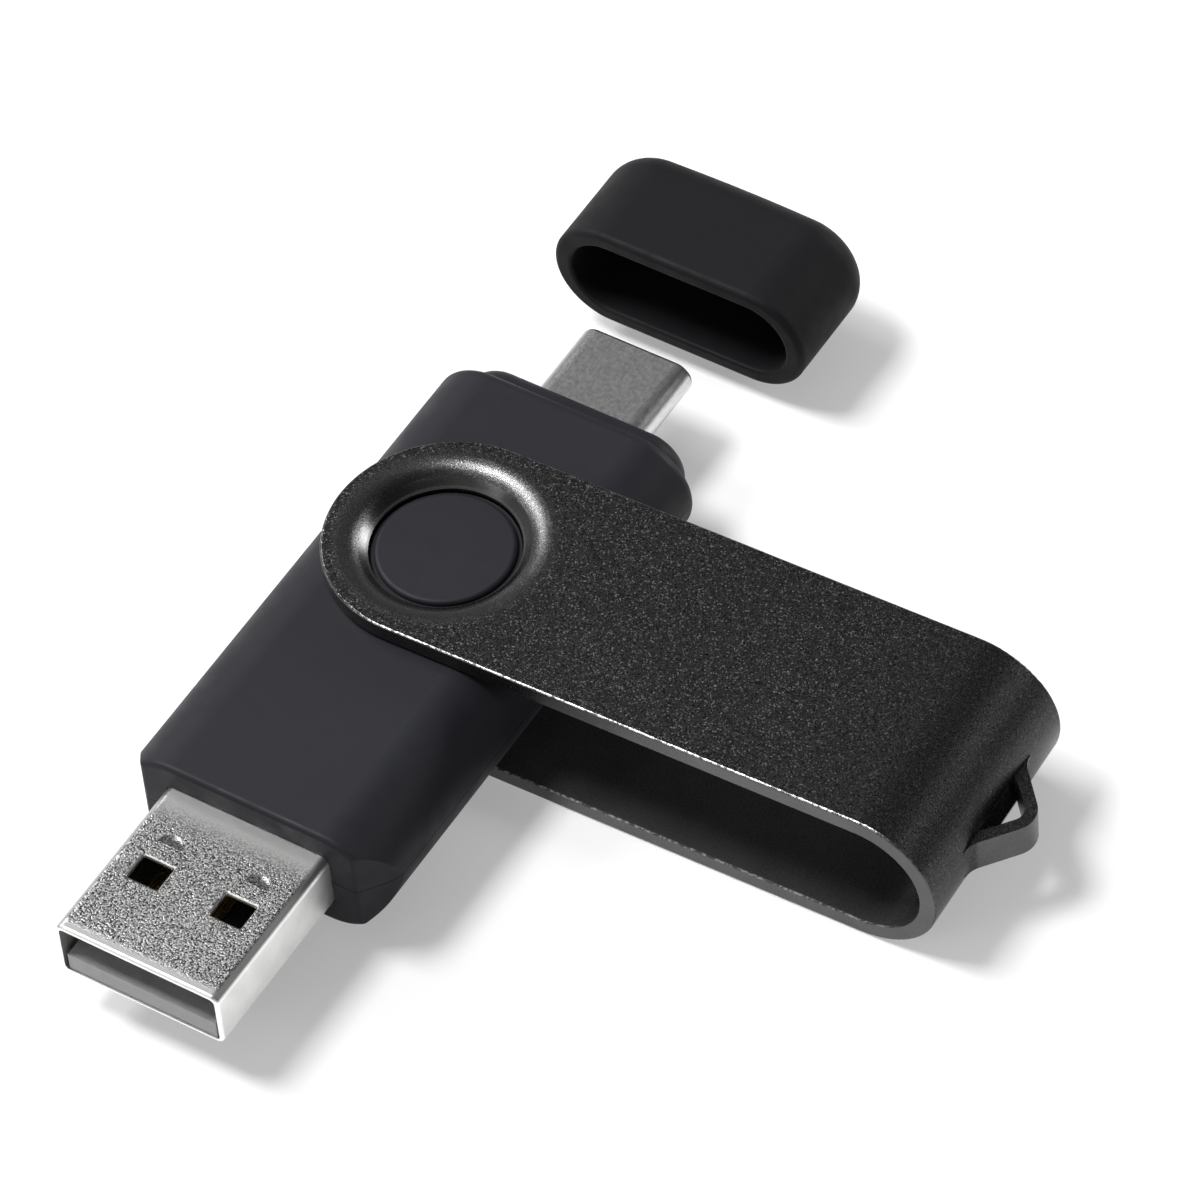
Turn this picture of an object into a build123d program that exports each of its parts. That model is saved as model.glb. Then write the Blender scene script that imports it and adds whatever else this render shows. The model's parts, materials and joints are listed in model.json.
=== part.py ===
"""Dual-ended swivel USB flash drive: two-shell body, USB-A and USB-C plugs, bent metal cover, pull-off cap.

Frame: millimetres, +Z up, +Y from the USB-A mouth towards the USB-C plug, +X the way the cover is swung out.
The origin is the centre of the footprint, on the surface that the drive lies on.
"""
from build123d import *
from math import atan2, cos, radians, sin, tan
import os

# ---- driving dimensions -------------------------------------------------------------------------
# Lengths along the drive are measured from the USB-A mouth, heights from the body's mid-plane.
body_w = 19.0          # body section, full-round sides
body_t = 8.2
body_front = 12.3      # where the body starts behind the USB-A plug
body_back = 49.6
front_face_w = 15.6    # the body narrows in plan towards the USB-A plug
front_taper = 2.3
side_corner_r = 2.2
wall = 1.6
cavity_t = 4.9
cavity_front = body_front + 1.5
cavity_back = 48.1

neck_w = 16.2          # spigot that the cap pushes on to
neck_t = 5.7
neck_end = 51.5
neck_edge_r = 1.5

swivel_y = 35.35
boss_r = 4.80          # journal that the cover's holes turn on
journal_top = 4.05
button_r = 4.58
button_top = 4.45
recess_r = 7.1
recess_floor = 3.30

cover_angle = 1.6      # degrees that the cover is swung past +X
cover_w = 16.2
cover_gap = 8.70
sheet = 1.12
cover_reach = 39.2     # swivel axis to the outside of the bend
cover_end_shift = 0.3
cover_edge_r = 0.16
hub_hole_r = 4.88
dish_r = 7.0           # the sheet is dished inside this radius
dish_depth = 1.05
dish_edge_t = 0.9      # height of the hole's wall
dish_slope = 42.0      # degrees
dish_shoulder_r = 1.9

loop_half = 3.5        # half the distance between the loop's feet
loop_corner_x = 41.69  # where the loop's straight sides would meet
loop_corner_r = 1.3
loop_foot_in = 0.48    # how far the feet's centre line starts inside the outside of the bend
loop_foot_len = 0.75
loop_flare_r = 2.0
loop_t = 0.8
loop_h = 2.5

usb_a_w = 12.0
usb_a_t = 4.5
usb_a_sheet = 0.3
usb_a_lip_r = 0.22
usb_a_back = 18.5
tongue_top = -0.55

usb_c_w = 8.25
usb_c_t = 2.4
usb_c_sheet = 0.15
usb_c_back = 47.4
usb_c_tip = 58.0

board_w = 14.6
board_t = 0.8
board_front = 18.9
board_back = 47.0

cap_front = 62.7       # parked position of the cap's open end
cap_len = 9.25
cap_depth = 8.5
cap_mouth_w = 16.36
cap_mouth_t = 5.86
cap_end_r = 2.4
cap_dome_r = 150.0     # the closed end bulges a little, seen from above

fit = 0.05             # gap between parts that are pushed together
solder = 0.02          # film between a component and the board

# ---- where the measuring points stand in the part's frame ---------------------------------------
loop_foot_x = cover_reach - loop_foot_in
loop_slope = atan2(loop_half, loop_corner_x - loop_foot_x)
loop_centre_x = loop_corner_x - loop_corner_r / sin(loop_slope)
cover_right = loop_centre_x * cos(radians(cover_angle)) + loop_corner_r + loop_t / 2
axis_x = (body_w / 2 - cover_right) / 2
mouth_y = -(cap_front + cap_len) / 2
mid_z = cover_gap / 2 + sheet
axis_y = mouth_y + swivel_y


def station(y):
    """Cross-section plane at y behind the USB-A mouth: local X is +X, local Y is up, normal is -Y."""
    return Plane(origin=(axis_x, mouth_y + y, mid_z), x_dir=(1, 0, 0), z_dir=(0, -1, 0))


def level(h):
    """Plan plane at height h over the mid-plane, centred on the drive's axis at the USB-A mouth."""
    return Plane(origin=(axis_x, mouth_y, mid_z + h), x_dir=(1, 0, 0), z_dir=(0, 0, 1))


def hub(h):
    """Plan plane at height h, centred on the swivel axis."""
    return Plane(origin=(axis_x, axis_y, mid_z + h), x_dir=(1, 0, 0), z_dir=(0, 0, 1))


swivel_axis = Axis((axis_x, axis_y, 0), (0, 0, 1))
along = Vector(cos(radians(cover_angle)), sin(radians(cover_angle)), 0)
cover_plan = Plane(origin=(axis_x, axis_y, mid_z), x_dir=along, z_dir=(0, 0, 1))
cover_side = Plane(origin=(axis_x, axis_y, mid_z), x_dir=along, z_dir=along.cross(Vector(0, 0, 1)))

os.makedirs("parts", exist_ok=True)
written = []


def save(builder, name):
    """Label a finished piece and write its STEP file."""
    builder.part.label = name
    export_step(builder.part, f"parts/{name}.step")
    written.append(name)


def stadium(w, t):
    """Full-round section, w wide and t high."""
    SlotOverall(w, t)


def body_plan(inset, mode=Mode.ADD):
    """Outline of the body seen from above, with its narrowed and rounded front corners."""
    half = body_w / 2 - inset
    face = front_face_w / 2 - inset * 0.6
    front = body_front + inset
    back = body_back - inset
    with BuildSketch() as outline:
        Polygon(
            (-face, front), (face, front), (half, front + front_taper),
            (half, back), (-half, back), (-half, front + front_taper),
            align=None,
        )
        side_corners = outline.vertices().group_by(Axis.Y)[1]
        fillet(side_corners, radius=side_corner_r)
    add(outline.sketch, mode=mode)


# ---- body: one outer form and one cavity, parted at the mid-plane -------------------------------
with BuildPart() as body_form:
    with BuildSketch(station(body_front)):
        stadium(body_w, body_t)
    extrude(amount=-(body_back - body_front))
    with BuildSketch(level(-body_t)):
        body_plan(0)
    extrude(amount=2 * body_t, mode=Mode.INTERSECT)
    back_rim = body_form.faces().sort_by(Axis.Y)[-1].edges()
    fillet(back_rim, radius=0.8)
    front_rim = body_form.faces().sort_by(Axis.Y)[0].edges()
    fillet(front_rim, radius=0.35)

with BuildPart() as neck_form:
    with BuildSketch(station(body_back - 1.0)):
        stadium(neck_w, neck_t)
    extrude(amount=-(neck_end - body_back + 1.0))
    fillet(neck_form.faces().sort_by(Axis.Y)[-1].edges(), radius=neck_edge_r)

with BuildPart() as cavity_form:
    with BuildSketch(station(cavity_front)):
        stadium(body_w - 2 * wall, cavity_t)
    extrude(amount=-(cavity_back - cavity_front))
    with BuildSketch(level(-body_t)):
        body_plan(wall)
    extrude(amount=2 * body_t, mode=Mode.INTERSECT)

with BuildPart() as plug_openings:
    with BuildSketch(station(body_front - 1.0)):
        RectangleRounded(usb_a_w + 2 * fit, usb_a_t + 2 * fit, 0.6)
    extrude(amount=-(cavity_front - body_front + 1.5))
    with BuildSketch(station(cavity_back - 0.5)):
        stadium(usb_c_w + 2 * fit, usb_c_t + 2 * fit)
    extrude(amount=-(neck_end - cavity_back + 1.5))

seam_h = 0.02
seam_depth = 0.05
with BuildPart() as seam_groove:
    with BuildSketch(level(-seam_h)):
        with Locations((0, (body_front + body_back) / 2)):
            Rectangle(2 * body_w, 2 * body_w + body_back)
        body_plan(seam_depth, mode=Mode.SUBTRACT)
        with Locations((0, body_back)):
            Rectangle(body_w - 2.4, 8, mode=Mode.SUBTRACT)
    extrude(amount=2 * seam_h)

lip_h = 0.6
lip_in = 0.85
with BuildPart() as lip_form:
    with BuildSketch(level(-0.6)):
        body_plan(lip_in + fit)
    extrude(amount=0.6 + lip_h)

with BuildPart() as rebate_form:
    with BuildSketch(level(-0.6)):
        body_plan(lip_in)
    extrude(amount=0.6 + lip_h + 2 * fit)

rib_stations = (23.2, 44.0)
rib_len = 0.8
rib_w = 11.0
post_r = 0.8
post_x = board_w / 2
post_y = 40.6


def hub_recess_and_boss(side):
    """Round recess for the cover's dished rim, and the stepped boss in it. side is 1 above and -1 below."""
    with BuildSketch(hub(side * recess_floor)) as recess:
        Circle(recess_r)
        Circle(boss_r, mode=Mode.SUBTRACT)
    extrude(recess.sketch, amount=side * 4, mode=Mode.SUBTRACT)
    with BuildSketch(hub(side * (recess_floor - 0.3))) as journal:
        Circle(boss_r)
    extrude(journal.sketch, amount=side * (journal_top - recess_floor + 0.3), mode=Mode.ADD)
    with BuildSketch(hub(side * journal_top)) as button:
        Circle(button_r)
    extrude(button.sketch, amount=side * (button_top - journal_top), mode=Mode.ADD)


def button_rim(builder, side):
    """Round the button's top edge."""
    faces = builder.faces().sort_by(Axis.Z)
    top = faces[-1] if side > 0 else faces[0]
    fillet(top.edges(), radius=0.32)


def ribs(side):
    """Cross ribs that hold the circuit board between the shells."""
    height = cavity_t / 2 - board_t / 2 - solder + 0.3
    start = board_t / 2 + solder
    with BuildSketch(level(side * start)) as rib_plan:
        with Locations(*[(0, y) for y in rib_stations]):
            Rectangle(rib_w, rib_len)
    extrude(rib_plan.sketch, amount=side * height)


with BuildPart() as body_upper_shell:
    add(body_form.part)
    add(neck_form.part)
    hub_recess_and_boss(1)
    button_rim(body_upper_shell, 1)
    add(cavity_form.part, mode=Mode.SUBTRACT)
    add(plug_openings.part, mode=Mode.SUBTRACT)
    add(seam_groove.part, mode=Mode.SUBTRACT)
    add(rebate_form.part, mode=Mode.SUBTRACT)
    split(bisect_by=level(0.02), keep=Keep.TOP)
    ribs(1)
save(body_upper_shell, "body_upper_shell")

with BuildPart() as body_lower_shell:
    add(body_form.part)
    add(neck_form.part)
    hub_recess_and_boss(-1)
    button_rim(body_lower_shell, -1)
    add(seam_groove.part, mode=Mode.SUBTRACT)
    split(bisect_by=level(-0.02), keep=Keep.BOTTOM)
    add(lip_form.part)
    add(cavity_form.part, mode=Mode.SUBTRACT)
    add(plug_openings.part, mode=Mode.SUBTRACT)
    ribs(-1)
    with BuildSketch(level(-cavity_t / 2 - 0.3)):
        with Locations((-post_x, post_y), (post_x, post_y)):
            Circle(post_r)
    extrude(amount=cavity_t / 2 + 0.3 + 0.3)
save(body_lower_shell, "body_lower_shell")

# ---- USB-A plug ---------------------------------------------------------------------------------
window_w = 2.28
window_len = 1.95
window_edge_r = 0.12
window_x = 3.05
window_y = 6.2
lance_x = 3.2
lance_y = 8.45         # where the lanced scoop starts, shallow, before it drops to its round rear edge
lance_r = 0.85
lance_slope = 13.0     # degrees


def lance_plane(x):
    """Floor of a lanced scoop, sinking into the top of the shell towards the body."""
    down = radians(lance_slope)
    origin = (axis_x + x, mouth_y + lance_y, mid_z + usb_a_t / 2)
    return Plane(origin=origin, x_dir=(1, 0, 0), z_dir=(0, sin(down), cos(down)))


with BuildPart() as usb_a_shell:
    with BuildSketch(station(0)):
        RectangleRounded(usb_a_w, usb_a_t, 0.6)
    extrude(amount=-usb_a_back)
    front_face = usb_a_shell.faces().sort_by(Axis.Y)[0]
    fillet(front_face.edges(), radius=usb_a_lip_r)
    with BuildSketch(station(-1)):
        RectangleRounded(usb_a_w - 2 * usb_a_sheet, usb_a_t - 2 * usb_a_sheet, 0.35)
    extrude(amount=-(usb_a_back + 2), mode=Mode.SUBTRACT)
    with BuildSketch(level(-usb_a_t)):
        with Locations((-window_x, window_y), (window_x, window_y)):
            RectangleRounded(window_w, window_len, 0.15)
    extrude(amount=2 * usb_a_t, mode=Mode.SUBTRACT)
    fillet(usb_a_shell.faces().sort_by(Axis.Z)[-1].inner_wires().edges(), radius=window_edge_r)
    fillet(usb_a_shell.faces().sort_by(Axis.Z)[0].inner_wires().edges(), radius=window_edge_r)
    for x in (-lance_x, lance_x):
        with BuildSketch(lance_plane(x)):
            Circle(lance_r)
            with Locations((0, -lance_r)):
                Rectangle(3 * lance_r, 2 * lance_r, mode=Mode.SUBTRACT)
        extrude(amount=0.5, mode=Mode.SUBTRACT)
    with BuildSketch(level(-usb_a_t / 2 + 0.1)):
        with Locations((0, usb_a_back / 2)):
            Rectangle(0.12, usb_a_back + 2)
    extrude(amount=-0.3, mode=Mode.SUBTRACT)
save(usb_a_shell, "usb_a_shell")

block_front = 9.4
block_back = 18.0
contact_w = 1.0
contact_t = 0.2
contact_top = -board_t / 2 - solder
contact_back = 21.2
with BuildPart() as usb_a_insulator:
    inner_w = usb_a_w - 2 * usb_a_sheet - 2 * fit
    inner_t = usb_a_t - 2 * usb_a_sheet - 2 * fit
    with BuildSketch(station(block_front)):
        RectangleRounded(inner_w, inner_t, 0.3)
    extrude(amount=-(block_back - block_front))
    with BuildSketch(level(-inner_t / 2)):
        with Locations((0, (0.12 + block_front + 0.5) / 2)):
            Rectangle(inner_w - 0.4, block_front + 0.5 - 0.12)
    extrude(amount=tongue_top + inner_t / 2)
    with BuildSketch(level(contact_top - contact_t - solder)):
        for x, front in ((-3.5, 1.9), (-1.0, 2.9), (1.0, 2.9), (3.5, 1.9)):
            with Locations((x, (front + block_back + 1) / 2)):
                Rectangle(contact_w + 2 * fit, block_back + 1 - front)
    extrude(amount=contact_t + 2 * solder, mode=Mode.SUBTRACT)
save(usb_a_insulator, "usb_a_insulator")


def usb_a_contact(x, front, name):
    """Flat blade contact that runs on the tongue, through the block and under the board's edge."""
    with BuildPart() as blade:
        with BuildSketch(level(contact_top - contact_t)):
            with Locations((x, (front + contact_back) / 2)):
                Rectangle(contact_w, contact_back - front)
        extrude(amount=contact_t)
        nose = blade.faces().sort_by(Axis.Y)[0].edges().sort_by(Axis.Z)[-1]
        chamfer(nose, length=0.12, length2=0.3)
    save(blade, name)


usb_a_contact(-3.5, 2.0, "usb_a_contact_power")
usb_a_contact(-1.0, 3.0, "usb_a_contact_data_minus")
usb_a_contact(1.0, 3.0, "usb_a_contact_data_plus")
usb_a_contact(3.5, 2.0, "usb_a_contact_ground")

# ---- USB-C plug ---------------------------------------------------------------------------------
c_block_back = 47.2
c_block_tip = usb_c_tip - 0.35
c_mouth_w = 6.8
c_mouth_t = 0.95
c_mouth_depth = 6.3
c_pitch = 0.5
c_contact_w = 0.25
c_contact_in = 0.45
c_contact_out = 0.60
c_contact_tail = 45.2
c_contact_tip = usb_c_tip - 1.0
latch_x = 3.52
latch_t = 0.2
latch_h = 0.5
pad_len = 2.6
pad_w = 5.0
pad_t = 0.1

with BuildPart() as usb_c_shell:
    with BuildSketch(station(usb_c_back)):
        stadium(usb_c_w, usb_c_t)
    extrude(amount=-(usb_c_tip - usb_c_back))
    fillet(usb_c_shell.faces().sort_by(Axis.Y)[-1].edges(), radius=0.3)
    with BuildSketch(station(usb_c_back - 1)):
        stadium(usb_c_w - 2 * usb_c_sheet, usb_c_t - 2 * usb_c_sheet)
    extrude(amount=-(usb_c_tip - usb_c_back + 1 - 0.25), mode=Mode.SUBTRACT)
    with BuildSketch(station(usb_c_tip - 1)):
        stadium(usb_c_w - 0.7, usb_c_t - 0.7)
    extrude(amount=-2, mode=Mode.SUBTRACT)
save(usb_c_shell, "usb_c_shell")


def row_positions(pins, side):
    """Places across the plug of the contacts fitted in one row, of twelve at a fixed pitch."""
    return [side * (pin - 6.5) * c_pitch for pin in pins]


rows = (
    (1, row_positions((1, 4, 5, 6, 7, 9, 12), 1), "usb_c_contacts_upper"),
    (-1, row_positions((1, 4, 5, 9, 12), -1), "usb_c_contacts_lower"),
)

with BuildPart() as usb_c_insulator:
    with BuildSketch(station(c_block_back)):
        stadium(usb_c_w - 2 * usb_c_sheet - 2 * fit, usb_c_t - 2 * usb_c_sheet - 2 * fit)
    extrude(amount=-(c_block_tip - c_block_back))
    with BuildSketch(station(c_block_tip - c_mouth_depth)):
        Rectangle(c_mouth_w, c_mouth_t)
    extrude(amount=-(c_mouth_depth + 1), mode=Mode.SUBTRACT)
    for side, places, name in rows:
        with BuildSketch(level(side * (c_contact_in - solder))):
            for x in places:
                with Locations((x, (c_block_back - 1 + c_contact_tip + 0.2) / 2)):
                    Rectangle(c_contact_w + 0.04, c_contact_tip + 0.2 - c_block_back + 1)
        extrude(amount=side * (c_contact_out - c_contact_in + 2 * solder), mode=Mode.SUBTRACT)
        with BuildSketch(level(side * (usb_c_t / 2 - usb_c_sheet - fit - pad_t - solder))):
            with Locations((0, usb_c_tip - 3.4)):
                Rectangle(pad_w + 0.1, pad_len + 0.1)
        extrude(amount=side * 1, mode=Mode.SUBTRACT)
    with BuildSketch(level(-latch_h / 2 - solder)):
        with Locations((-latch_x, 53.2), (latch_x, 53.2)):
            Rectangle(latch_t + 0.14, 9)
        with Locations((0, 48.2)):
            Rectangle(2 * latch_x + latch_t + 0.14, 1.2)
    extrude(amount=latch_h + 2 * solder, mode=Mode.SUBTRACT)
save(usb_c_insulator, "usb_c_insulator")

for side, places, name in rows:
    with BuildPart() as contact_row:
        with BuildSketch(level(side * c_contact_in)):
            for x in places:
                with Locations((x, (c_contact_tail + c_contact_tip) / 2)):
                    Rectangle(c_contact_w, c_contact_tip - c_contact_tail)
        extrude(amount=side * (c_contact_out - c_contact_in))
    save(contact_row, name)

with BuildPart() as usb_c_latch:
    with BuildSketch(level(-latch_h / 2)):
        with Locations((-latch_x, 52.6), (latch_x, 52.6)):
            Rectangle(latch_t, 9.6)
        with Locations((0, 48.2)):
            Rectangle(2 * latch_x + latch_t, 0.8)
    extrude(amount=latch_h)
    with BuildSketch(level(-latch_h)):
        with Locations((0, 48.2)):
            Rectangle(2 * latch_x - 1.2, 2)
    extrude(amount=latch_h - 0.1, mode=Mode.SUBTRACT)
    with BuildSketch(level(0.1)):
        with Locations((0, 48.2)):
            Rectangle(2 * latch_x - 1.2, 2)
    extrude(amount=latch_h, mode=Mode.SUBTRACT)
save(usb_c_latch, "usb_c_latch")

for side, name in ((1, "usb_c_ground_spring_upper"), (-1, "usb_c_ground_spring_lower")):
    with BuildPart() as spring:
        with BuildSketch(level(side * (usb_c_t / 2 - usb_c_sheet - fit - pad_t))):
            with Locations((0, usb_c_tip - 3.4)):
                Rectangle(pad_w, pad_len)
                with GridLocations(1.5, 0, 3, 1):
                    Rectangle(0.9, 1.6, mode=Mode.SUBTRACT)
                with GridLocations(1.5, 0, 3, 1):
                    with Locations((0, 0.25)):
                        Rectangle(0.6, 1.2)
        extrude(amount=side * pad_t)
    save(spring, name)

# ---- circuit board and what is soldered to it ---------------------------------------------------
board_top = board_t / 2
board_mid = (board_front + board_back) / 2
with BuildPart() as circuit_board:
    with BuildSketch(level(-board_t / 2)):
        with Locations((0, board_mid)):
            Rectangle(board_w, board_back - board_front)
        with Locations((-post_x, post_y), (post_x, post_y)):
            Circle(post_r + 0.1, mode=Mode.SUBTRACT)
    extrude(amount=board_t)
    corners = circuit_board.edges().filter_by(Axis.Z).group_by(Axis.Y)[0]
    chamfer(corners, length=1.0)
save(circuit_board, "circuit_board")


def chip(side, x, y, w, length, height, name):
    """Moulded package on the board's top (side 1) or underside (side -1)."""
    with BuildPart() as package:
        with BuildSketch(level(side * (board_top + solder))):
            with Locations((x, y)):
                Rectangle(w, length)
        extrude(amount=side * height)
        chamfer(package.edges().filter_by(Axis.Z), length=0.15)
    save(package, name)


chip(1, 0, 33.0, 12.0, 13.0, 1.0, "flash_memory")
chip(-1, 0, 31.5, 7.0, 7.0, 0.9, "controller")
chip(-1, -4.6, 38.2, 2.5, 3.2, 0.7, "crystal")
chip(-1, 4.4, 38.2, 1.6, 2.9, 1.0, "voltage_regulator")


def chip_group(side, size, spots, name):
    """Small two-ended components, one solid each, on one side of the board."""
    w, length, height = size
    with BuildPart() as group:
        with BuildSketch(level(side * (board_top + solder))):
            with Locations(*spots):
                Rectangle(w, length)
        extrude(amount=side * height)
    save(group, name)


cap_row = [(-5.0 + 2.0 * i, 25.2) for i in range(6)] + [(-5.0 + 2.0 * i, 41.6) for i in range(6)]
res_row = [(-4.4 + 2.2 * i, 26.0) for i in range(5)] + [(-4.4 + 2.2 * i, 42.0) for i in range(5)]
chip_group(1, (0.6, 1.1, 0.6), cap_row, "capacitors")
chip_group(-1, (0.6, 1.1, 0.4), res_row, "resistors")

# ---- swivel cover: one strip of sheet bent into a U ---------------------------------------------
outer_r = cover_gap / 2 + sheet
inner_r = cover_gap / 2
bend_x = cover_reach - outer_r
strip_end = -cover_w

with BuildPart() as swivel_cover:
    with BuildSketch(cover_side):
        with BuildLine():
            Line((strip_end, outer_r), (bend_x, outer_r))
            ThreePointArc((bend_x, outer_r), (bend_x + outer_r, 0), (bend_x, -outer_r))
            Line((bend_x, -outer_r), (strip_end, -outer_r))
            Line((strip_end, -outer_r), (strip_end, -inner_r))
            Line((strip_end, -inner_r), (bend_x, -inner_r))
            ThreePointArc((bend_x, -inner_r), (bend_x + inner_r, 0), (bend_x, inner_r))
            Line((bend_x, inner_r), (strip_end, inner_r))
            Line((strip_end, inner_r), (strip_end, outer_r))
        make_face()
    extrude(amount=cover_w / 2, both=True)
    with BuildSketch(cover_plan.offset(-2 * outer_r)):
        with Locations((cover_end_shift, 0)):
            Circle(cover_w / 2)
        with Locations((cover_end_shift + cover_reach / 2, 0)):
            Rectangle(cover_reach, cover_w)
    extrude(amount=4 * outer_r, mode=Mode.INTERSECT)
    rims = swivel_cover.edges().filter_by(lambda e: e.length > 6 and abs(e.center().Z - mid_z) > inner_r + 0.9)
    fillet(rims, radius=cover_edge_r)
    with BuildSketch(cover_plan.offset(-2 * outer_r)):
        Circle(dish_r)
    extrude(amount=4 * outer_r, mode=Mode.SUBTRACT)
    edge_top = outer_r - dish_depth
    edge_under = edge_top - dish_edge_t
    slope = tan(radians(dish_slope))
    shoulder_x = hub_hole_r + dish_depth / slope
    under_x = hub_hole_r + 0.42
    under_end_x = under_x + (inner_r - edge_under) / slope
    for side in (1, -1):
        with BuildSketch(cover_side):
            with BuildLine():
                FilletPolyline(
                    (dish_r, side * outer_r), (shoulder_x, side * outer_r), (hub_hole_r, side * edge_top),
                    (hub_hole_r, side * edge_under), (under_x, side * edge_under),
                    (under_end_x, side * inner_r), (dish_r, side * inner_r),
                    radius=(0, dish_shoulder_r, 0.08, 0.08, 0.4, 0.8, 0), close=True,
                )
            make_face()
        revolve(axis=swivel_axis)
    with BuildSketch(cover_plan.offset(-loop_h / 2 - 0.04)):
        with Locations((cover_reach, 0)):
            Rectangle(12, 2 * loop_half)
    extrude(amount=loop_h + 0.08, mode=Mode.SUBTRACT)
    with BuildSketch(cover_plan.offset(-loop_h / 2)):
        with BuildLine():
            FilletPolyline(
                (loop_foot_x, -loop_half - loop_foot_len), (loop_foot_x, -loop_half), (loop_corner_x, 0),
                (loop_foot_x, loop_half), (loop_foot_x, loop_half + loop_foot_len),
                radius=(loop_flare_r, loop_corner_r, loop_flare_r),
            )
        trace(line_width=loop_t)
    extrude(amount=loop_h)
save(swivel_cover, "swivel_cover")

# ---- pull-off cap for the USB-C plug ------------------------------------------------------------
with BuildPart() as usb_c_cap:
    with BuildSketch(station(cap_front)):
        stadium(body_w, body_t)
    extrude(amount=-cap_len)
    with BuildSketch(level(-body_t)):
        with Locations((0, cap_front + cap_len - cap_dome_r)):
            Circle(cap_dome_r)
    extrude(amount=2 * body_t, mode=Mode.INTERSECT)
    fillet(usb_c_cap.faces().sort_by(Axis.Y)[-1].edges(), radius=cap_end_r)
    fillet(usb_c_cap.faces().sort_by(Axis.Y)[0].edges(), radius=0.45)
    with BuildSketch(station(cap_front - 1)):
        stadium(cap_mouth_w, cap_mouth_t)
    extrude(amount=-(cap_depth + 1), mode=Mode.SUBTRACT)
    fillet(usb_c_cap.faces().sort_by(Axis.Y)[0].inner_wires().edges(), radius=0.25)
save(usb_c_cap, "usb_c_cap")

print(len(written), "parts")
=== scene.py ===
import bpy
import json
from math import cos, pi, radians, sin
from mathutils import Matrix, Quaternion, Vector


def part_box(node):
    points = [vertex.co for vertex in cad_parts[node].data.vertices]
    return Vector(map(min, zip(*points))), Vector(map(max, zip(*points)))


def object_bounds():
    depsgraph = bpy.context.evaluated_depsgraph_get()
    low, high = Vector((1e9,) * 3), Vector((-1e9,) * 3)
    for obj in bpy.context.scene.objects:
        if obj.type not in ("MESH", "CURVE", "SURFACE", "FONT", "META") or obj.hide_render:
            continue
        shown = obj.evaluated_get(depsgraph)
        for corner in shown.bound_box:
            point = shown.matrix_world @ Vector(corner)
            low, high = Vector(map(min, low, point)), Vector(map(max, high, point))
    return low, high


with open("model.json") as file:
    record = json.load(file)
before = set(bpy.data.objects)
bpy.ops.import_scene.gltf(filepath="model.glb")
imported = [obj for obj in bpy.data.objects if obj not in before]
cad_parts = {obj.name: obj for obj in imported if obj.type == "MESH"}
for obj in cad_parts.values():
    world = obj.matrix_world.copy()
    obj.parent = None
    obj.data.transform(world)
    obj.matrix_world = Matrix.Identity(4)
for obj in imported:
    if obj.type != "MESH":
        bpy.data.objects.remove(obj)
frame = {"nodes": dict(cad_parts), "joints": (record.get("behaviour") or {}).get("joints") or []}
cad_low, cad_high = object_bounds()

MM = 0.001
nodes = frame["nodes"]
swivel = next(joint for joint in frame["joints"] if joint["name"] == "cover_swivel")
hub = Vector(swivel["pos_m"])

# Swivel cover, in millimetres and degrees: a strip bent into a U, with a dished ring round each hole.
cover_turn = 1.6  # past square to the body, at rest
cover_reach = 39.2  # from the hub to the far side of the bend
cover_sheet = 1.12
cover_half = 8.1  # half the strip's width
lip_start, lip_end = 5.15, 5.7  # radii between which the blasted finish starts
dish_radius = 7.0
cover_outer = (cad_high.z - cad_low.z) / 2 / MM
cover_inner = cover_outer - cover_sheet
bend_start = cover_reach - cover_outer

# Middle of the USB-A plug's open end, in metres.
shell_low, shell_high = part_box("usb_a_shell")
usb_a_mouth = Vector(((shell_low.x + shell_high.x) / 2, shell_low.y, hub.z))

# Azimuth, elevation and roll of the view in degrees, the point looked at in millimetres from the hub,
# and the camera's distance from it in metres.
view_angles = (36.142, 49.899, 5.680)
view_centre = (8.565, 4.02, 0.0)
view_distance = 0.47385
view_lens = 225.82

# Name, direction, size in metres and radiance of each soft light. Each faces the drive from light_distance.
light_distance = 0.9
lights = (
    ("key_strip", (-0.76, 0.07, 0.64), (0.50, 0.17), 18.0),
    ("top_box", (-0.42, -0.13, 0.89), (0.26, 0.24), 44.0),
    ("back_card", (0.42, 0.86, 0.30), (0.36, 0.20), 15.0),
    ("front_fill", (-0.45, -0.80, 0.40), (0.4, 0.3), 3.6),
    ("right_card", (0.62, -0.64, 0.42), (0.7, 0.4), 1.3),
)

# Brightness of the surroundings along the +Z and +X parts of a direction. The two are multiplied.
sky_by_height = ((0.0, 0.8), (0.12, 0.60), (0.4, 0.34), (1.0, 0.30))
sky_by_right = ((0.0, 1.0), (0.1, 1.0), (0.45, 0.30), (1.0, 0.20))

floor_reach = 6.0
floor_gap = 0.02 * MM
floor_glow = 0.30


def grey(tone):
    return (tone, tone, tone)


def set_stops(node, stops):
    """Give a colour ramp node its (position, colour) stops."""
    points = node.color_ramp.elements
    while len(points) < len(stops):
        points.new(0.5)
    for point, (position, colour) in zip(points, stops):
        point.position = position
        point.color = (*colour, 1.0)


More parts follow.
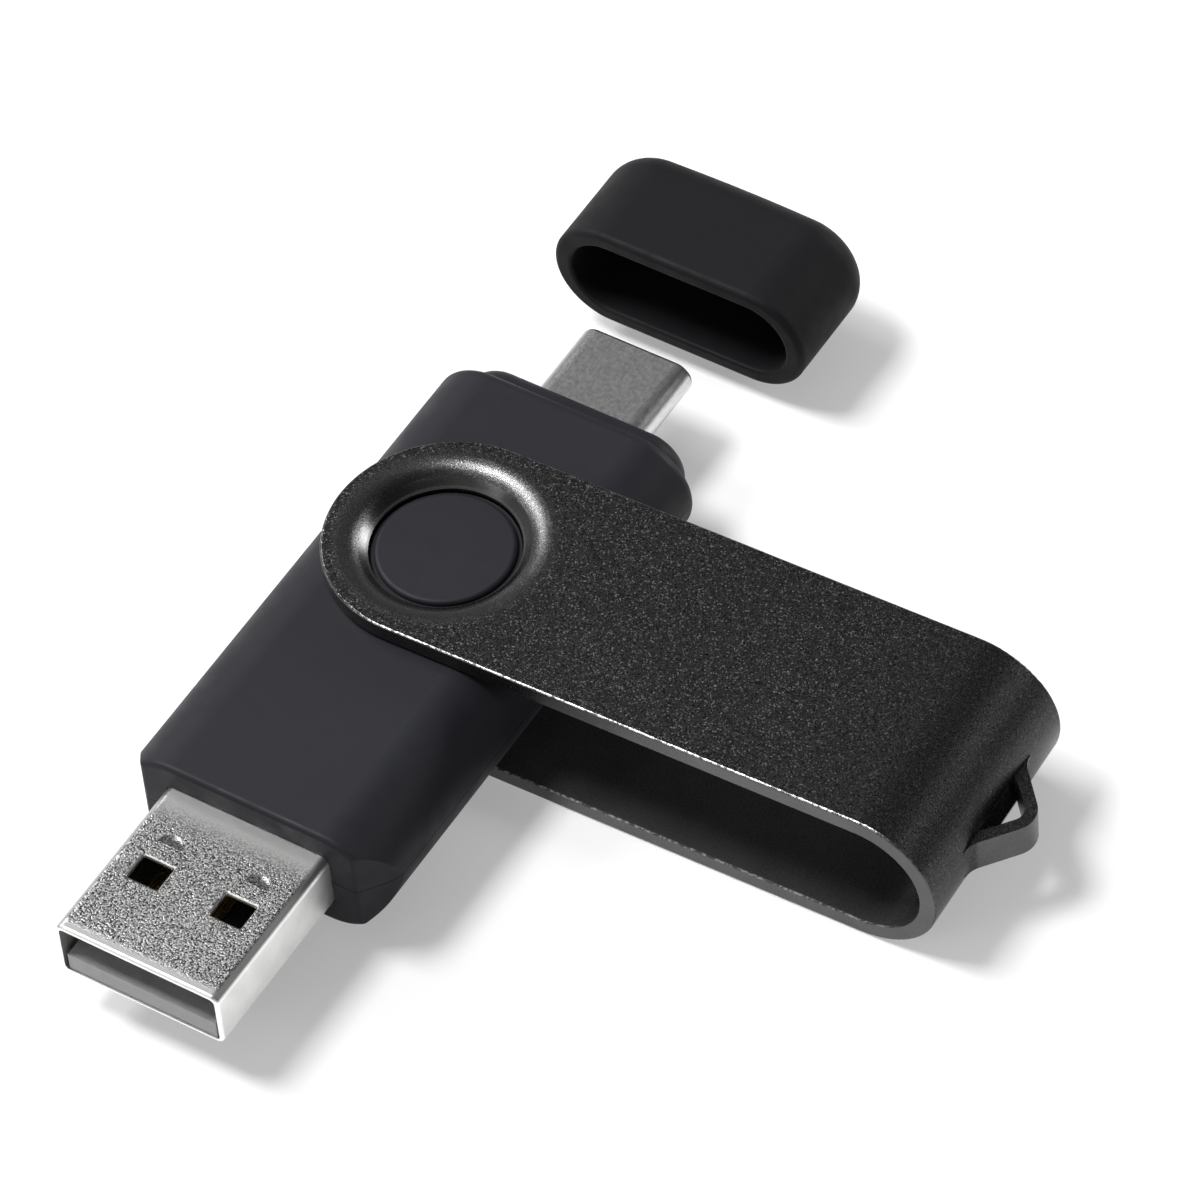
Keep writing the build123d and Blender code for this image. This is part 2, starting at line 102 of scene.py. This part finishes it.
class Surface:
    """A material and its node tree, with short calls that add nodes and join them to the shader."""

    def __init__(self, name, **values):
        self.material = bpy.data.materials.new(name)
        self.material.use_nodes = True
        self.tree = self.material.node_tree
        self.shader = self.tree.nodes["Principled BSDF"]
        self.place = self.tree.nodes.new("ShaderNodeTexCoord")
        for socket, value in values.items():
            self.shader.inputs[socket.replace("_", " ")].default_value = value

    def node(self, kind, inputs=None, **settings):
        """Add a node. An input is a number, a colour or another node's socket."""
        made = self.tree.nodes.new("ShaderNode" + kind)
        for key, value in settings.items():
            setattr(made, key, value)
        for key, value in (inputs or {}).items():
            self.join(value, made.inputs[key])
        return made

    def join(self, value, socket):
        """Link a socket to an input, or set the input to a plain value."""
        if isinstance(value, bpy.types.NodeSocket):
            self.tree.links.new(value, socket)
        else:
            socket.default_value = value

    def stretched(self, scale):
        """Object coordinates in millimetres, scaled along each axis."""
        mapping = self.node("Mapping", {"Vector": self.place.outputs["Object"]})
        mapping.inputs["Scale"].default_value = [k / MM for k in scale]
        return mapping.outputs["Vector"]

    def local(self, origin, turn=0.0):
        """Millimetres from an origin given in metres, along axes turned about +Z by turn degrees."""
        back = Matrix.Rotation(radians(-turn), 3, "Z")
        mapping = self.node("Mapping", {"Vector": self.place.outputs["Object"]})
        mapping.inputs["Scale"].default_value = (1 / MM,) * 3
        mapping.inputs["Rotation"].default_value = (0, 0, radians(-turn))
        mapping.inputs["Location"].default_value = back @ (-Vector(origin) / MM)
        return self.node("SeparateXYZ", {"Vector": mapping.outputs["Vector"]}).outputs

    def facing(self):
        """Size of the surface normal's three coordinates, in the object's own axes."""
        size = self.node("VectorMath", {0: self.place.outputs["Normal"]}, operation="ABSOLUTE")
        return self.node("SeparateXYZ", {"Vector": size.outputs["Vector"]}).outputs

    def noise(self, size, detail=2.0, rough=0.5, scale=(1, 1, 1)):
        """Noise whose grains are about size millimetres across."""
        place = self.stretched(scale)
        made = self.node("TexNoise", {"Vector": place, "Scale": 1 / size, "Detail": detail})
        made.inputs["Roughness"].default_value = rough
        return made.outputs["Fac"]

    def cells(self, size):
        """A random value in each cell, about size millimetres across."""
        made = self.node("TexVoronoi", {"Vector": self.stretched((1, 1, 1)), "Scale": 1 / size})
        return self.node("SeparateColor", {"Color": made.outputs["Color"]}).outputs["Red"]

    def math(self, operation, first, second):
        """A Math node's result."""
        return self.node("Math", {0: first, 1: second}, operation=operation).outputs["Value"]

    def product(self, first, *others):
        """Several values multiplied together."""
        for other in others:
            first = self.math("MULTIPLY", first, other)
        return first

    def away(self, value, centre):
        """Distance of a coordinate from a centre."""
        offset = self.math("SUBTRACT", value, centre)
        return self.node("Math", {0: offset}, operation="ABSOLUTE").outputs["Value"]

    def radius(self, first, second):
        """Distance from an axis, of two coordinates across it."""
        squares = [self.math("MULTIPLY", value, value) for value in (first, second)]
        return self.math("POWER", self.math("ADD", *squares), 0.5)

    def spread(self, value, low, high, to_low=0.0, to_high=1.0, smooth=True):
        """Map the range low to high of a value on to another range, held at its ends."""
        made = self.node("MapRange", {"Value": value, "From Min": low, "From Max": high})
        made.inputs["To Min"].default_value = to_low
        made.inputs["To Max"].default_value = to_high
        made.interpolation_type = "SMOOTHSTEP" if smooth else "LINEAR"
        return made.outputs["Result"]

    def ramp(self, value, *stops):
        """Colour ramp through (position, colour) stops."""
        made = self.node("ValToRGB", {"Fac": value})
        set_stops(made, stops)
        return made.outputs["Color"]

    def greys(self, value, low, high, dark, light):
        """Grey that runs from dark to light while a value runs from low to high."""
        return self.ramp(value, (low, grey(dark)), (high, grey(light)))

    def blend(self, share, first, second):
        """Mix two colours."""
        made = self.node("Mix", {"Factor": share}, data_type="RGBA")
        colours = [socket for socket in made.inputs if socket.type == "RGBA"]
        for value, socket in zip((first, second), colours):
            self.join((*value, 1.0) if isinstance(value, tuple) else value, socket)
        return next(socket for socket in made.outputs if socket.type == "RGBA")

    def colour(self, value):
        self.join(value, self.shader.inputs["Base Color"])

    def rough(self, value):
        self.join(value, self.shader.inputs["Roughness"])

    def bump(self, height, depth):
        """Relief of a height field, depth millimetres from its lowest to its highest."""
        made = self.node("Bump", {"Height": height, "Distance": depth * MM, "Strength": 1.0})
        self.join(made.outputs["Normal"], self.shader.inputs["Normal"])


def soft_touch(name, tone, tint, rough, gloss):
    """Rubber-like paint on moulded plastic: dull, with a very fine grain and faint handling marks."""
    skin = Surface(name, Sheen_Weight=0.02, Sheen_Roughness=0.4, Specular_IOR_Level=gloss)
    dark = tuple(0.93 * tone * k for k in tint)
    light = tuple(1.05 * tone * k for k in tint)
    skin.colour(skin.ramp(skin.noise(9.0), (0.3, dark), (0.7, light)))
    skin.rough(skin.spread(skin.noise(1.6, detail=4.0), 0.3, 0.7, rough - 0.05, rough + 0.06))
    skin.bump(skin.noise(0.11), 0.006)
    return skin.material


def gunmetal():
    """Dark metal: blasted and sparkling outside, plain inside and on cut edges, with painted highlights
    lightening its front rim and its dished ring.
    """
    metal = Surface("gunmetal")
    x, y, z = metal.local(hub, cover_turn)
    facing = metal.facing()

    # Where each finish lies.
    past_bend = metal.math("MAXIMUM", metal.math("SUBTRACT", x, bend_start), 0.0)
    outside = metal.spread(metal.radius(past_bend, z), cover_inner + 0.1, cover_inner + 0.25)
    upright = metal.spread(facing["Z"], 0.45, 0.7, 1.0, 0.0)
    from_bend = metal.away(x, bend_start + cover_outer / 2)
    off_bend = metal.spread(from_bend, cover_outer / 2, cover_outer / 2 + 0.4)
    end_face = metal.spread(facing["Y"], 0.7, 0.9)
    cut_edge = metal.math("MAXIMUM", end_face, metal.product(upright, off_bend))
    off_edge = metal.spread(cut_edge, 0, 1, 1, 0)
    from_hole = metal.radius(x, y)
    blasted = metal.product(outside, metal.spread(from_hole, lip_start, lip_end), off_edge)
    dish = metal.spread(from_hole, dish_radius - 0.3, dish_radius + 0.4, 1.0, 0.0)

    # Painted highlight: the rim is lightened above and, more faintly, inside the lower leg, along its front
    # and before the bend, standing in for light caught on the rounded edge.
    from_spine = metal.radius(metal.math("MINIMUM", x, 0.0), y)
    rim = metal.spread(from_spine, cover_half - 0.2, cover_half - 0.1)
    highlight_reach = metal.math("MAXIMUM", outside, metal.spread(z, -3.0, -2.0, 0.5, 0.0))
    front = metal.spread(y, -2.0, 2.0, 1.0, 0.25)
    before_bend = metal.spread(x, bend_start + 0.5, bend_start + 3.5, 1.0, 0.1)
    rim_highlight = metal.product(rim, highlight_reach, off_edge, front, before_bend)

    # A few flakes sparkle, fewer of them in the dish and towards the bend.
    sparkle = metal.spread(metal.cells(0.078), 0.88, 1.0, smooth=False)
    on_flat = metal.spread(x, bend_start - 8.0, bend_start + 3.0, 1.0, 0.25)
    sparkle = metal.product(sparkle, blasted, on_flat, metal.spread(dish, 0, 1, 1.0, 0.35), 0.8)

    grain = metal.noise(0.10, detail=3.0, rough=0.7)
    broad = metal.noise(2.5, detail=3.0)
    inner_base = metal.greys(broad, 0.3, 0.7, 0.018, 0.024)
    ring_base = metal.greys(broad, 0.3, 0.7, 0.040, 0.052)
    edge_base = metal.greys(broad, 0.3, 0.7, 0.084, 0.100)
    blasted_base = metal.greys(grain, 0.36, 0.66, 0.013, 0.062)
    # Painted highlight colour for the rim, broken up by coarse noise.
    rim_highlight_base = metal.greys(metal.noise(0.30, detail=3.0), 0.42, 0.60, 0.07, 0.45)
    base = metal.blend(outside, inner_base, ring_base)
    base = metal.blend(cut_edge, base, edge_base)
    base = metal.blend(blasted, base, blasted_base)
    base = metal.blend(sparkle, base, grey(0.34))
    # Painted highlight: the dish gets a lighter base so the reflection of the top light on its shoulder
    # shows brighter.
    base = metal.blend(metal.product(dish, outside, 0.34), base, grey(0.16))
    metal.colour(metal.blend(rim_highlight, base, rim_highlight_base))
    metal.join(metal.math("MAXIMUM", outside, cut_edge), metal.shader.inputs["Metallic"])
    rough = metal.spread(grain, 0.3, 0.7, 0.24, 0.36)
    metal.rough(metal.product(rough, metal.spread(dish, 0, 1, 1.0, 0.8)))
    metal.bump(metal.product(grain, metal.spread(blasted, 0, 1, 0.15, 1.0)), 0.017)
    return metal.material


def nickel_plug():
    """Nickel plating: a strong fine grain on the two flat faces, smooth sides, front lip and rear band.
    Faces turned up are painted darker than the upright sides, as painted shade.
    """
    metal = Surface("nickel_grained", Metallic=1.0)
    depth = metal.local(usb_a_mouth)["Y"]
    facing_z = metal.facing()["Z"]
    flat = metal.spread(facing_z, 0.9, 0.99)
    between = metal.product(metal.spread(depth, 0.3, 1.0), metal.spread(depth, 9.0, 12.0, 1.0, 0.0))
    grained = metal.product(flat, between)
    grain = metal.noise(0.125, rough=0.6)
    # Lit and shaded copies of the plating: upright sides get a light base, and the smooth faces turned up
    # and the grained flat faces get darker ones, as painted shade. The grain itself is the plating's own.
    grain_and_shade_base = metal.ramp(grain, (0.38, grey(0.025)), (0.62, (0.55, 0.55, 0.545)))
    broad = metal.noise(1.4, detail=3.0)
    bright_base = metal.ramp(broad, (0.3, (0.86, 0.86, 0.85)), (0.7, (0.96, 0.96, 0.95)))
    side_lit_top_shaded_base = metal.blend(metal.spread(facing_z, 0.2, 0.6), bright_base, (0.45, 0.45, 0.446))
    metal.colour(metal.blend(grained, side_lit_top_shaded_base, grain_and_shade_base))
    metal.rough(metal.spread(grained, 0, 1, 0.36, 0.28))
    metal.bump(metal.product(grain, metal.spread(grained, 0, 1, 0.06, 1.0)), 0.03)
    return metal.material


def satin_nickel(name, tone, rough, sides=1.0):
    """Satin nickel with fine mottling. Upright sides are painted brighter than flat faces by the factor
    sides, as painted light standing in for the bright floor they face.
    """
    metal = Surface(name, Metallic=1.0)
    mottle = metal.noise(0.30, detail=5.0, rough=0.75)
    scratches = metal.noise(0.10, detail=3.0, scale=(1, 0.15, 1))
    marks = metal.math("ADD", metal.product(mottle, 0.6), metal.product(scratches, 0.4))
    flat_base = metal.greys(marks, 0.38, 0.62, tone * 0.86, tone * 1.14)
    # Painted light: upright sides get a lighter base than the flat faces.
    lit_side_tone = min(tone * sides, 0.85)
    lit_side_base = metal.greys(marks, 0.38, 0.62, lit_side_tone * 0.9, lit_side_tone * 1.1)
    metal.colour(metal.blend(metal.spread(metal.facing()["Z"], 0.3, 0.9), lit_side_base, flat_base))
    metal.rough(metal.spread(mottle, 0.35, 0.65, rough - 0.02, rough + 0.025))
    metal.bump(metal.noise(0.20), 0.003)
    return metal.material


def moulded(name, tone, rough=0.5):
    """Plain moulded plastic with a fine spark-eroded grain."""
    plastic = Surface(name)
    broad = plastic.noise(3.0, detail=3.0)
    plastic.colour(plastic.greys(broad, 0.3, 0.7, tone * 0.85, tone * 1.15))
    plastic.rough(plastic.spread(broad, 0.3, 0.7, rough - 0.06, rough + 0.06))
    plastic.bump(plastic.noise(0.08), 0.004)
    return plastic.material


def plug_tongue():
    """Plastic tongue of the USB-A plug: grey nose, painted black further in as painted shade inside the
    shell.
    """
    plastic = Surface("insulator_shaded_inside")
    depth = plastic.local(usb_a_mouth)["Y"]
    broad = plastic.noise(1.2, detail=4.0)
    nose = plastic.greys(broad, 0.3, 0.7, 0.19, 0.25)
    inner = plastic.greys(broad, 0.3, 0.7, 0.012, 0.018)
    # Painted shade: about 2.4 mm inside the mouth the tongue turns black, where the shell shades it.
    plastic.colour(plastic.blend(plastic.spread(depth, 2.4, 3.4), nose, inner))
    plastic.rough(plastic.spread(broad, 0.3, 0.7, 0.42, 0.56))
    plastic.bump(plastic.noise(0.10), 0.008)
    return plastic.material


def gold_contact():
    """Thin gold plating with faint drawing lines."""
    metal = Surface("gold_contact", Metallic=1.0)
    lines = metal.noise(0.06, scale=(1, 0.05, 1))
    metal.colour(metal.ramp(lines, (0.3, (0.72, 0.50, 0.17)), (0.7, (0.90, 0.68, 0.30))))
    metal.rough(metal.spread(lines, 0.3, 0.7, 0.18, 0.32))
    metal.bump(lines, 0.003)
    return metal.material


def solder_mask():
    """Green solder mask over faint copper tracks."""
    board = Surface("solder_mask", Coat_Weight=0.4, Coat_Roughness=0.2)
    tracks = board.node("TexBrick", {"Vector": board.stretched((1, 1, 1)), "Scale": 0.55})
    tracks.inputs["Mortar Size"].default_value = 0.06
    tracks.inputs["Mortar Smooth"].default_value = 0.2
    board.colour(board.blend(tracks.outputs["Fac"], (0.006, 0.055, 0.022), (0.012, 0.13, 0.05)))
    board.rough(board.spread(board.noise(0.6), 0.3, 0.7, 0.3, 0.42))
    board.bump(tracks.outputs["Fac"], 0.03)
    return board.material


def dress(material, *names):
    """Give CAD nodes a material."""
    for name in names:
        mesh = nodes[name].data
        mesh.materials.clear()
        mesh.materials.append(material)


def add_camera():
    """Long lens on the drive."""
    azimuth, elevation, roll = (radians(angle) for angle in view_angles)
    back = Vector((sin(azimuth) * cos(elevation), -cos(azimuth) * cos(elevation), sin(elevation)))
    data = bpy.data.cameras.new("camera")
    data.sensor_width = 36.0
    data.lens = view_lens
    data.clip_start = 0.01
    data.clip_end = 20.0
    camera = bpy.data.objects.new("camera", data)
    camera.location = hub + Vector(view_centre) * MM + back * view_distance
    camera.rotation_mode = "QUATERNION"
    camera.rotation_quaternion = (-back).to_track_quat("-Z", "Y") @ Quaternion((0, 0, 1), -roll)
    bpy.context.scene.collection.objects.link(camera)
    bpy.context.scene.camera = camera


def add_light(name, direction, size, radiance):
    """Rectangular soft light in a direction, aimed at the drive."""
    data = bpy.data.lights.new(name, "AREA")
    data.shape = "RECTANGLE"
    data.size, data.size_y = size
    data.energy = radiance * pi * size[0] * size[1]
    light = bpy.data.objects.new(name, data)
    light.location = Vector(direction).normalized() * light_distance
    light.rotation_mode = "QUATERNION"
    light.rotation_quaternion = (-light.location).to_track_quat("-Z", "Y")
    bpy.context.scene.collection.objects.link(light)


def add_floor():
    """Pale paper just under the drive. It can be seen through from below."""
    mesh = bpy.data.meshes.new("floor")
    corners = [(x * floor_reach, y * floor_reach, 0) for x, y in ((-1, -1), (1, -1), (1, 1), (-1, 1))]
    mesh.from_pydata(corners, [], [(0, 1, 2, 3)])
    floor = bpy.data.objects.new("floor", mesh)
    floor.location.z = cad_low.z - floor_gap
    bpy.context.scene.collection.objects.link(floor)

    paper = Surface("paper")
    paper.colour(paper.greys(paper.noise(40.0), 0.3, 0.7, 0.52, 0.54))
    paper.rough(0.9)
    paper.shader.inputs["Emission Color"].default_value = (1, 1, 1, 1)
    paper.shader.inputs["Emission Strength"].default_value = floor_glow
    from_below = paper.node("NewGeometry").outputs["Backfacing"]
    clear = paper.node("BsdfTransparent").outputs["BSDF"]
    seen = paper.node("MixShader", {0: from_below, 1: paper.shader.outputs["BSDF"], 2: clear})
    paper.join(seen.outputs["Shader"], paper.tree.nodes["Material Output"].inputs["Surface"])
    mesh.materials.append(paper.material)


def add_surroundings():
    """Even pale surroundings, dimmer overhead and on the right."""
    world = bpy.data.worlds.new("studio")
    bpy.context.scene.world = world
    world.use_nodes = True
    tree = world.node_tree
    direction = tree.nodes.new("ShaderNodeTexCoord").outputs["Generated"]
    split = tree.nodes.new("ShaderNodeSeparateXYZ")
    tree.links.new(direction, split.inputs["Vector"])
    sky = tree.nodes.new("ShaderNodeVectorMath")
    sky.operation = "MULTIPLY"
    for socket, axis, stops in ((0, "Z", sky_by_height), (1, "X", sky_by_right)):
        ramp = tree.nodes.new("ShaderNodeValToRGB")
        set_stops(ramp, [(position, grey(tone)) for position, tone in stops])
        tree.links.new(split.outputs[axis], ramp.inputs["Fac"])
        tree.links.new(ramp.outputs["Color"], sky.inputs[socket])
    tree.links.new(sky.outputs["Vector"], tree.nodes["Background"].inputs["Color"])


body_skin = soft_touch("body_soft_touch", 0.0085, (0.90, 0.93, 1.28), 0.55, 0.18)
cap_skin = soft_touch("cap_soft_touch", 0.0045, (0.98, 0.96, 1.2), 0.62, 0.12)
spring_steel = satin_nickel("spring_steel", 0.6, 0.3)
epoxy = moulded("epoxy", 0.014, 0.45)
dress(body_skin, "body_upper_shell", "body_lower_shell")
dress(cap_skin, "usb_c_cap")
dress(gunmetal(), "swivel_cover")
dress(nickel_plug(), "usb_a_shell")
# The USB-C shell's upright sides get painted light: a base 2.2 times the top's.
dress(satin_nickel("nickel_satin", 0.31, 0.33, sides=2.2), "usb_c_shell")
dress(plug_tongue(), "usb_a_insulator")
dress(moulded("insulator_black", 0.012), "usb_c_insulator")
dress(gold_contact(), *[name for name in nodes if "contact" in name])
dress(spring_steel, "usb_c_latch", "usb_c_ground_spring_upper", "usb_c_ground_spring_lower")
dress(solder_mask(), "circuit_board")
dress(epoxy, "flash_memory", "controller", "voltage_regulator", "resistors")
dress(satin_nickel("crystal_can", 0.6, 0.4), "crystal")
dress(moulded("ceramic", 0.26, 0.35), "capacitors")

add_camera()
add_floor()
add_surroundings()
for light in lights:
    add_light(*light)
bpy.context.scene.view_settings.view_transform = "Standard"
